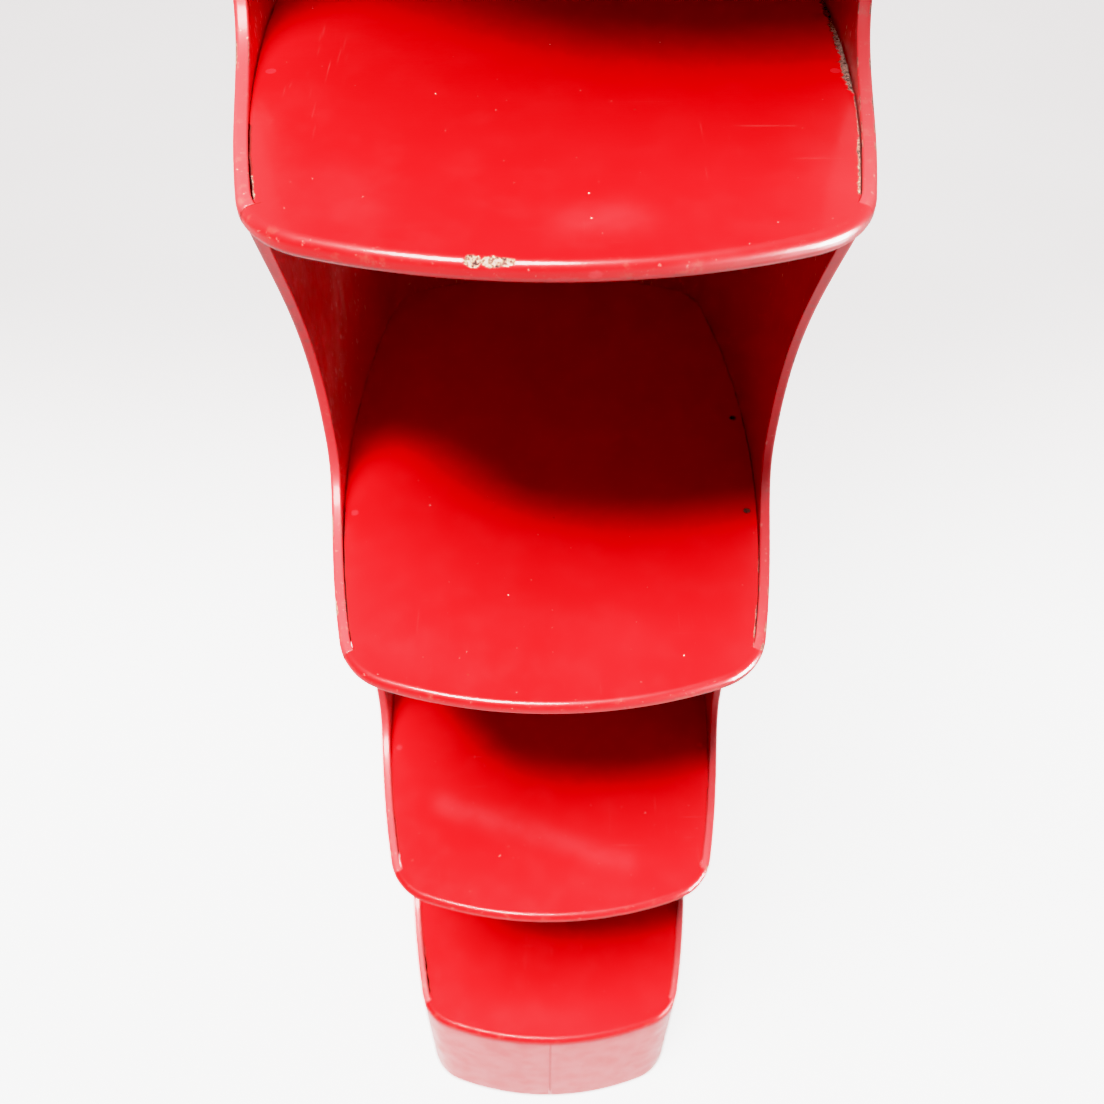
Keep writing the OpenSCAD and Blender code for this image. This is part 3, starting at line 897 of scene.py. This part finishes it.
def shelf(name, node, i, marks, upper_radius=5.5, lower_radius=5.5):
    """One bow-fronted board. Columns run along the front from the left joint to the right
    on the full oval, then round the back inside the wall. The keys of marks:
    fine, fine_wall  (from u, to u, step), u running on past the back for fine_wall
    chips            (u, distance across the nosing, half sizes along and across, depth)
    scuffs           the same, ending in an amount
    open             (wall, y from, y to, width) of a wider gap to the wall
    worn, dirt_and_shade  (wall, y from, y to, width, depth or amount), the latter darkening as
    dirt and painted shade
    haze             (x from, y from, x to, y to, radius, amount)
    left_gap         shortening of the nosing at its left end
    joint_dirt_and_shade  darkness of the line there: dirt and painted shade"""
    top = level(i)
    noise, noise2 = table_noise(100 + i), table_noise(200 + i)
    left_end = -S_NOSE + marks.get("left_gap", 0.0)
    nose_ends = [(-S_NOSE - 1, -S_NOSE + 3, 0.5), (S_NOSE - 3, S_NOSE, 0.5)]
    front_u = stations(left_end, S_NOSE, lambda u: 1.4, marks.get("fine", []) + nose_ends, 0.3)
    back_u = stations(S_NOSE, 2 * HALF_LENGTH - S_NOSE, wall_step,
                      marks.get("fine_wall", []), 0.5)
    u = np.r_[front_u, np.where(back_u > HALF_LENGTH, back_u - 2 * HALF_LENGTH, back_u)]
    n = len(u)
    front = np.arange(n) < len(front_u)
    opening = np.zeros(n)
    for side, y0, y1, width in marks.get("open", []):
        jagged = 0.25 + 0.6 * noise(u / 5.0, 3.3) + 0.6 * noise2(u / 1.5, 8.1)
        along = fade(*wall_span(side, y0, y1), 0.15, u)
        opening = np.maximum(opening, width * along * jagged)
    base = np.where(front, 0.0, WALL + GAP) + np.where(front, 0, opening)

    # rings across the edge; the back has nearly square edges
    upper = np.where(front, upper_radius, 0.6)
    lower = np.where(front, lower_radius, 0.6)
    mid = np.maximum(SHELF - upper - lower, 0)
    thirds = (0.33, 0.67)
    rings = [(upper + e, 0 * upper, 1.0, 0.0) for e in TOP_INSETS]
    rings += rounded_edge(upper, lower, SHELF, [upper + mid * t for t in thirds],
                          EDGE_STEPS_SHELF)
    ring_count = len(rings)
    plan, out = signed_oval(u)
    loops = [plan - out * (base + ring[0])[:, None] for ring in rings]
    # distance across the nosing, from 0 where the top flat ends
    bend = math.pi / 2 * upper_radius
    shares = np.arange(EDGE_STEPS_SHELF + 1) / EDGE_STEPS_SHELF
    across = np.concatenate(
        [np.full(n, -e) for e in TOP_INSETS]
        + [np.full(n, share * math.pi / 2 * upper_radius) for share in shares]
        + [bend + mid * t for t in thirds]
        + [bend + mid + share * math.pi / 2 * lower for share in shares])

    grid_x, grid_y = np.meshgrid(np.arange(-170, 171, 7.0), np.arange(-255, 256, 7.0))
    grid_y[:, ::2] += 3.5
    grid = np.c_[grid_x.ravel(), grid_y.ravel()]
    heads = [circle(c, HEAD_RADIUS) for c in NAILS]
    shanks = [circle(c, SHANK_RADIUS) for c in NAILS]
    top_points, top_faces = fill(loops[0], heads, grid, 3.2)
    bottom_points, bottom_faces = fill(loops[-1], shanks, grid, 3.2)
    ledges = [ring for pair in zip(heads, shanks) for ring in pair]

    ring_verts = ring_count * n
    bottom_start = ring_verts + len(top_points) - n
    ledge_start = bottom_start + len(bottom_points) - n
    verts = np.concatenate(
        [np.c_[loop, top - ring[1]] for loop, ring in zip(loops, rings)]
        + [flat(top_points[n:], top), flat(bottom_points[n:], top - SHELF)]
        + [flat(ledge, top - HEAD_DEPTH) for ledge in ledges])
    rest = len(verts) - ring_verts
    normals = np.zeros((len(verts), 3))
    normals[:ring_verts] = np.concatenate([flat(out * ring[3], ring[2]) for ring in rings])
    normals[ring_verts:, 2] = 1.0
    normals[bottom_start:ledge_start, 2] = -1.0
    edge = np.concatenate([np.where(front, min(1.0, ring[3] * 1.15), ring[3] * 0.6)
                           for ring in rings] + [np.zeros(rest)])
    face_sets = [
        rim_faces(ring_count, n),
        renumber(top_faces, n, 0, ring_verts),
        renumber(bottom_faces, n, ring_verts - n, bottom_start)]
    face_sets = [orient(faces, verts, normals) for faces in face_sets]
    face_sets.append(bore_faces(verts, ring_verts, bottom_start, ledge_start))

    # vertices off the rings get positions out of reach of the edge marks
    off_edge = np.zeros(rest, bool)
    at = SimpleNamespace(
        u=np.r_[np.tile(u, ring_count), np.full(rest, 1e6)],
        across=np.r_[across, np.full(rest, -99.0)],
        inset=np.r_[np.concatenate([ring[0] for ring in rings]), np.full(rest, 99.0)],
        front=np.r_[np.tile(front, ring_count), off_edge],
        wall=np.r_[np.tile(~front, ring_count), off_edge],
        top=top, left_end=left_end)
    push, raw, dirt_and_shade, haze = wear(marks, at, noise, noise2, verts, normals)
    inward = unit(normals)
    verts = verts - inward * push[:, None]
    dents = smooth(0.62, 0.8, noise2(verts[:, 0] / 21 + 40, verts[:, 1] / 17 + 40))
    verts = verts - inward * (0.12 * dents * at.front * (edge > 0.2))[:, None]
    build(name, node, verts, face_sets, normals,
          {"edge": edge, "inner": np.where(normals[:, 2] < -0.5, 0.35, 0.0),
           "dirt_and_shade": dirt_and_shade, "raw": raw, "haze": haze},
          SHELF_LACQUER, trust=1 - np.clip(push * 12, 0, 1))


shelf("top_board", "top_panel", 0, {"haze": [(-60, -120, 70, -60, 40, 0.15)]})
shelf("shelf_1_board", "shelf_1", 1, {
    "fine": [(-56, 66, 0.5)],
    "fine_wall": [
        (wall_s(-210), wall_s(60), 0.65),
        (2 * HALF_LENGTH - wall_s(-120), 2 * HALF_LENGTH - S_NOSE, 0.55)],
    "chips": [
        (-40.3, 3.2, 4.8, 3.8, 1.3), (-31.0, 3.1, 5.4, 3.4, 1.0), (-25.8, 2.7, 5.6, 2.5, 0.8)],
    "scuffs": [
        (17.0, 9.2, 3.4, 2.4, 1.3), (43.0, 13.0, 8.0, 2.2, 1.2), (2.0, 12.6, 9.0, 2.6, 0.8),
        (86.0, 10.0, 5.0, 2.0, 0.8), (-60.0, 13.0, 14.0, 2.0, 0.5),
        (112.0, 9.0, 6.0, 2.5, 0.8)],
    "open": [(LEFT, -211, -166, 0.75), (LEFT, -168, -130, 0.40)],
    "left_gap": 0.45,
    "joint_dirt_and_shade": 1.0,
    "worn": [
        (RIGHT, -104, 50, 5.6, 0.8), (RIGHT, -148, -102, 1.6, 0.4),
        (RIGHT, -208, -146, 2.7, 0.6), (LEFT, -211, -186, 1.4, 0.3)],
    "dirt_and_shade": [(LEFT, -212, -130, 1.6, 1.0), (RIGHT, -212, -80, 1.0, 0.6)],
    "haze": [
        (14, -226, 32, -222, 14, 0.50), (132, -160, 140, -192, 14, 0.16),
        (-112, -190, -96, -214, 16, 0.20)],
})
shelf("shelf_2_board", "shelf_2", 2, {
    "fine_wall": [(wall_s(-212), wall_s(-120), 1.0)],
    "open": [(LEFT, -210, -196, 0.6), (LEFT, -190, -60, 0.5), (RIGHT, -190, -40, 0.2)],
    "left_gap": 0.35,
    "joint_dirt_and_shade": 0.9,
    "worn": [(RIGHT, -206, -172, 1.7, 0.6), (RIGHT, -140, -126, 1.0, 0.4)],
    "dirt_and_shade": [(LEFT, -212, -60, 1.4, 0.9), (RIGHT, -190, 60, 1.2, 0.8)],
    "haze": [(-40, -190, 60, -205, 26, 0.14), (-110, -215, -60, -232, 16, 0.14)],
})
shelf("shelf_3_board", "shelf_3", 3, {
    "open": [(LEFT, -212, -150, 0.9)],
    "dirt_and_shade": [(LEFT, -212, -90, 1.4, 0.9), (RIGHT, -212, -120, 1.2, 0.7)],
    "haze": [(-107, -140, 73, -205, 12, 0.55), (30, -186, 60, -205, 12, 0.15)],
})
shelf("shelf_4_board", "shelf_4", 4, {
    "open": [(LEFT, -212, -135, 2.6)],
    "dirt_and_shade": [(LEFT, -213, -90, 2.4, 1.0), (RIGHT, -212, -150, 1.4, 0.8)],
    "haze": [(-60, -225, 20, -235, 20, 0.10)],
}, upper_radius=6.0, lower_radius=0.15)


# ---------------------------------------------------------------- CAD pieces that stay
def cleat_paint():
    """Thin red paint over wood, grain along y."""
    m = new_material("cleat_paint_red")
    grain = m.noise(detail=5, rough=0.65, dist=0.5, stretch=(320, 26, 320))
    col = m.mix(m.patches(lo=0.3, hi=0.7, scale=14, detail=3),
                (0.40, 0.012, 0.014), (0.56, 0.020, 0.022))
    col = m.tint(col, m.step(grain, lo=0.56, hi=0.72), amount=0.5, colour=(0.30, 0.012, 0.010))
    missed = m.patches(lo=0.66, hi=0.72, scale=60, detail=5, rough=0.75)
    col = m.tint(col, missed, amount=0.7, colour=(0.42, 0.25, 0.14))
    specks = m.dots(scale=120, size=(0.03, 0.07), pick=(0.8, 0.83))
    col = m.tint(col, specks, amount=0.6, colour=(0.8, 0.5, 0.45))
    roughness = m.blend(m.step(grain, lo=0.4, hi=0.7), 0.42, 0.62)
    normal = m.bump(grain, strength=0.35, distance=0.0004)
    normal = m.bump(m.noise(scale=600, detail=3), strength=0.15, distance=0.0002, normal=normal)
    return m.surface(Base_Color=col, Roughness=m.blend(missed, roughness, 0.85), Normal=normal,
                     Coat_Weight=0.15, Coat_Roughness=0.3)


def nail_steel():
    """Painted nail heads, rusted on the right of one shelf, with bare shanks."""
    m = new_material("nail_painted_steel")
    x, _, z = m.xyz()
    paint = m.mix(m.patches(lo=0.35, hi=0.65, scale=200, detail=3),
                  (0.60, 0.012, 0.016), (0.74, 0.020, 0.024))
    rusty = m.mul(m.mul(m.step(x, lo=0.10, hi=0.12), m.step(z, lo=0.90, hi=0.91)),
                  m.fall(z, lo=1.0, hi=1.02))
    wear_mask = m.mul(rusty, m.patches(lo=0.25, hi=0.42, scale=420, detail=4, rough=0.7))
    rust = m.mix(m.patches(lo=0.4, hi=0.62, scale=900, detail=4, rough=0.7),
                 (0.016, 0.006, 0.005), (0.10, 0.030, 0.018))
    # share of a pitch below a plane 0.4 mm above each board
    below = m.math("FRACT", m.mul(m.sub(TOP * MM + 0.3654, z), 1 / (PITCH * MM)))
    shank = m.step(below, lo=0.006, hi=0.010)
    bare = m.mix(m.noise(scale=300, detail=3), (0.22, 0.21, 0.20), (0.42, 0.40, 0.38))
    col = m.mix(shank, m.mix(wear_mask, paint, rust), bare)
    roughness = m.blend(m.most(wear_mask, m.mul(shank, 0.4)), 0.34, 0.78)
    normal = m.bump(m.noise(scale=800, detail=4, rough=0.7), strength=0.5, distance=0.0003)
    return m.surface(Base_Color=col, Roughness=roughness, Metallic=m.mul(shank, 0.85),
                     Normal=normal, Coat_Roughness=0.15,
                     Coat_Weight=m.mul(m.sub(1.0, m.most(wear_mask, shank)), 0.6))


def batten_pine():
    """Bare pine, grain along z."""
    m = new_material("batten_pine")
    grain = m.noise(detail=6, rough=0.62, dist=1.2, stretch=(130, 130, 3.2))
    fibres = m.noise(detail=3, rough=0.6, stretch=(900, 900, 12))
    col = m.mix(m.step(grain, lo=0.36, hi=0.64), (0.50, 0.29, 0.135), (0.68, 0.46, 0.26))
    col = m.tint(col, m.step(fibres, lo=0.52, hi=0.7), amount=0.4, colour=(0.28, 0.15, 0.07))
    return m.surface(Base_Color=col, Roughness=m.blend(grain, 0.62, 0.80),
                     Normal=m.bump(fibres, strength=0.4, distance=0.0003),
                     Specular_IOR_Level=0.3)


def bare_fibreboard():
    m = new_material("bare_fibreboard")
    grain = m.noise(scale=500, detail=4, rough=0.7)
    col = m.mix(m.patches(lo=0.3, hi=0.7, scale=18, detail=3),
                (0.30, 0.19, 0.11), (0.40, 0.27, 0.165))
    col = m.tint(col, m.step(grain, lo=0.5, hi=0.7), amount=0.5, colour=(0.17, 0.10, 0.055))
    stain = m.patches(lo=0.58, hi=0.70, scale=7, detail=4, rough=0.6)
    col = m.tint(col, stain, amount=0.45, colour=(0.12, 0.08, 0.05))
    return m.surface(Base_Color=col, Roughness=m.blend(grain, 0.78, 0.92),
                     Normal=m.bump(grain, strength=0.5, distance=0.0004),
                     Specular_IOR_Level=0.25)


CAD_MATERIALS = {   # by the start of the node's name
    "cleat_": cleat_paint(),
    "nails_": nail_steel(),
    "seam_batten": batten_pine(),
    "base_panel": bare_fibreboard(),
}
for node_name, ob in frame["nodes"].items():
    prefix = next((p for p in CAD_MATERIALS if node_name.startswith(p)), None)
    if prefix is None or (prefix == "base_panel" and node_name != prefix):
        continue
    if not ob.material_slots:
        ob.data.materials.append(CAD_MATERIALS[prefix])
    for material_slot in ob.material_slots:
        material_slot.material = CAD_MATERIALS[prefix]
    if prefix in ("cleat_", "seam_batten"):
        weld = ob.modifiers.new("weld", "WELD")
        weld.merge_threshold = 0.00001
        ease = ob.modifiers.new("ease", "BEVEL")
        ease.width = 0.0008
        ease.segments = 2
        ease.limit_method = "ANGLE"
        ease.angle_limit = math.radians(50)

# ---------------------------------------------------------------- floor and world
FLOOR_HALF = 30         # metres
FLOOR_GLOW = 1.75       # emission near the unit
FAR_GLOW_SHARE = 0.42   # share of it left behind the unit
GLOSSY_SHARE = 0.62     # share of it seen in reflections
WORLD_GAIN = 1.30
BACKDROP = 1.15         # world strength seen by the camera from any side


def floor_white():
    m = new_material("studio_floor_white")
    col = m.mix(m.patches(lo=0.3, hi=0.7, scale=1.3),
                (0.095, 0.095, 0.095), (0.105, 0.105, 0.105))
    far = m.step(m.xyz()[1], lo=0.30, hi=1.7)
    rays = m.node("ShaderNodeLightPath").outputs
    glow = m.mul(m.blend(far, FLOOR_GLOW, FLOOR_GLOW * FAR_GLOW_SHARE),
                 m.most(rays["Is Camera Ray"], m.mul(rays["Is Glossy Ray"], GLOSSY_SHARE)))
    tint = m.mix(far, (1.0, 0.995, 0.99), (1.0, 0.91, 0.905))
    return m.surface(Base_Color=col, Roughness=0.85, Specular_IOR_Level=0.2,
                     Emission_Color=tint, Emission_Strength=glow)


floor_mesh = bpy.data.meshes.new("studio_floor")
floor_mesh.from_pydata([(x * FLOOR_HALF, y * FLOOR_HALF, 0)
                        for x, y in ((-1, -1), (1, -1), (1, 1), (-1, 1))], [], [(0, 1, 2, 3)])
floor = bpy.data.objects.new("studio_floor", floor_mesh)
bpy.context.scene.collection.objects.link(floor)
floor_mesh.materials.append(floor_white())

world = bpy.data.worlds.new("studio_world")
bpy.context.scene.world = world
sky = Nodes(world, coords="Generated")
background = sky.tree.nodes["Background"]
background.inputs[0].default_value = (0.98, 0.98, 1.0, 1)
# bright behind the unit, dim behind the camera
glow = sky.mul(sky.step(sky.xyz()[1], lo=-0.45, hi=0.40, out=(0.10, 0.95)), WORLD_GAIN)
camera_ray = sky.node("ShaderNodeLightPath").outputs["Is Camera Ray"]
sky.put(background.inputs[1], sky.blend(camera_ray, glow, BACKDROP))


# ---------------------------------------------------------------- lights
def area_light(name, place, target, power, colour, size, size_y=None):
    """A disk, or a rectangle when size_y is given, facing the target."""
    light = bpy.data.lights.new(name, "AREA")
    light.shape = "RECTANGLE" if size_y else "DISK"
    light.size = size
    if size_y:
        light.size_y = size_y
    light.energy = power
    light.color = colour
    ob = bpy.data.objects.new(name, light)
    bpy.context.scene.collection.objects.link(ob)
    ob.location = place
    ob.rotation_euler = (Vector(target) - Vector(place)).to_track_quat("-Z", "Y").to_euler()
    return ob


area_light("side_window", place=(1.98, -1.23, 1.40), target=(0.0, -0.15, 1.20),
           power=5.0, colour=(0.97, 0.98, 1.0), size=1.05, size_y=0.62)
# a bright opening on the right that only the shelves mirror
mirrored = area_light("side_window_mirrored", place=(2.05, -1.05, 0.92),
                      target=(0.0, -0.15, 1.0), power=640.0, colour=(0.97, 0.98, 1.0),
                      size=1.30, size_y=1.10)
mirrored.visible_diffuse = False
shelves_only = bpy.data.collections.new("mirrored_in_shelves")
for ob in bpy.context.scene.objects:
    if ob.name.startswith("shelf_") and ob.name.endswith("_board"):
        shelves_only.objects.link(ob)
mirrored.light_linking.receiver_collection = shelves_only
# light thrown up by the floor on the right
bounce = area_light("floor_bounce", place=(1.62, -1.22, 0.60), target=(-0.15, -0.05, 1.12),
                    power=12.0, colour=(1.0, 0.97, 0.95), size=1.10, size_y=0.40)
bounce.visible_glossy = False
# the key light does not weaken with distance
key = area_light("key_light", place=(-0.41, -0.83, 3.36), target=(0, -0.1, 0.9),
                 power=66.0, colour=(1.0, 0.985, 0.965), size=1.12).data
key.use_nodes = True
falloff = key.node_tree.nodes.new("ShaderNodeLightFalloff")
falloff.inputs["Strength"].default_value = 1.0
key.node_tree.links.new(falloff.outputs["Constant"],
                        key.node_tree.nodes["Emission"].inputs["Strength"])

# ---------------------------------------------------------------- camera
TILT_DOWN, YAW, ROLL = 0.85256658, 0.01726316, -0.00722214      # radians
place = Vector((-0.0097263, -0.6898346, 1.61083787))
forward = Vector((math.sin(YAW) * math.cos(TILT_DOWN), math.cos(YAW) * math.cos(TILT_DOWN),
                  -math.sin(TILT_DOWN)))
level_right = Vector((math.cos(YAW), -math.sin(YAW), 0))
level_down = forward.cross(level_right)
right = level_right * math.cos(ROLL) + level_down * math.sin(ROLL)
down = -level_right * math.sin(ROLL) + level_down * math.cos(ROLL)
camera = bpy.data.objects.new("camera", bpy.data.cameras.new("camera"))
bpy.context.scene.collection.objects.link(camera)
bpy.context.scene.camera = camera
camera.matrix_world = Matrix([(right[k], -down[k], -forward[k], place[k]) for k in range(3)]
                             + [(0, 0, 0, 1)])
camera.data.sensor_width = 36
camera.data.lens = 35.9010652
camera.data.clip_start = 0.02
camera.data.dof.use_dof = True
camera.data.dof.focus_distance = 0.66
camera.data.dof.aperture_fstop = 11

# ---------------------------------------------------------------- picture
view = bpy.context.scene.view_settings
view.view_transform = "Standard"
view.look = "None"
view.exposure = 0.0
# a photographic curve: a firm toe and a long shoulder
view.use_curve_mapping = True
mapping = view.curve_mapping
mapping.black_level = (0.0094, 0.0094, 0.0094)
mapping.white_level = (3.0, 3.0, 3.0)
mapping.extend = "HORIZONTAL"
tone = mapping.curves[3]
tone.points[0].location = (0.0, 0.0)
tone.points[1].location = (1.0, 0.95)
TONE_POINTS = (     # input, output
    (0.05, 0.15), (0.12, 0.35), (0.183, 0.53), (0.24, 0.68),
    (0.35, 0.78), (0.487, 0.845), (0.667, 0.895), (0.9, 0.935))
for level_in, level_out in TONE_POINTS:
    tone.points.new(level_in, level_out)
mapping.update()
